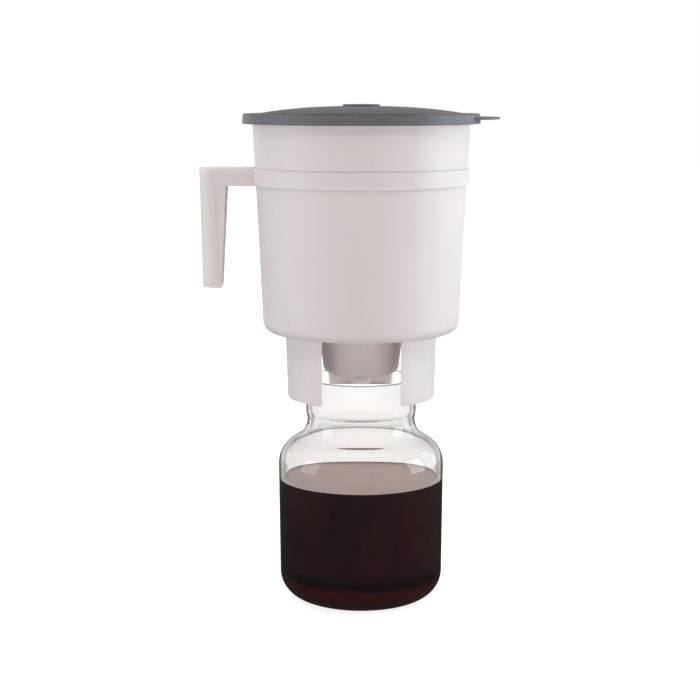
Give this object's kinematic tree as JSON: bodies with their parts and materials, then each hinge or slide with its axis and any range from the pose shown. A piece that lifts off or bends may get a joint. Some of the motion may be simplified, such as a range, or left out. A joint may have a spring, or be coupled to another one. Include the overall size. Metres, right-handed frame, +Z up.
{
  "type": "cold brew coffee maker",
  "caption": "Gravity cold brew coffee maker: drafted brewing container with lid, banded handle, filter cup and legs, standing on a wide glass decanter.",
  "frame": {"origin": "centre of the decanter's flat underside, where it rests on the table", "axes": "+Z up along the common axis of decanter, container and lid; -Y is the front seen in the picture; the handle hangs at -X and the lid's pull tab points to +X"},
  "size_m": [0.1976, 0.1564, 0.3316],
  "materials": {
    "clear_glass": "polished clear",
    "coffee_liquid": "dark liquid, glossy",
    "white_moulding": "satin, slightly translucent",
    "grey_moulding": "soft satin",
    "white_felt": "thick needled felt",
    "pale_silicone": "matte"
  },
  "bodies": {
    "decanter": {"glass_decanter": "clear_glass", "coffee": "coffee_liquid"},
    "container": {"brewing_container": "white_moulding", "handle": "white_moulding"},
    "lid": {"lid": "grey_moulding"},
    "filter": {"felt_filter": "white_felt"},
    "stopper": {"stopper": "pale_silicone"}
  },
  "joints": [
    {"name": "container_lift", "type": "slide", "parent": "decanter", "child": "container", "axis": [0, 0, 1], "range_m": [0, 0.12]},
    {"name": "lid_lift", "type": "slide", "parent": "container", "child": "lid", "axis": [0, 0, 1], "range_m": [0, 0.06]},
    {"name": "filter_lift", "type": "slide", "parent": "container", "child": "filter", "axis": [0, 0, 1], "range_m": [0, 0.14]},
    {"name": "stopper_pull", "type": "slide", "parent": "container", "child": "stopper", "axis": [0, 0, -1], "range_m": [0, 0.016]}
  ]
}
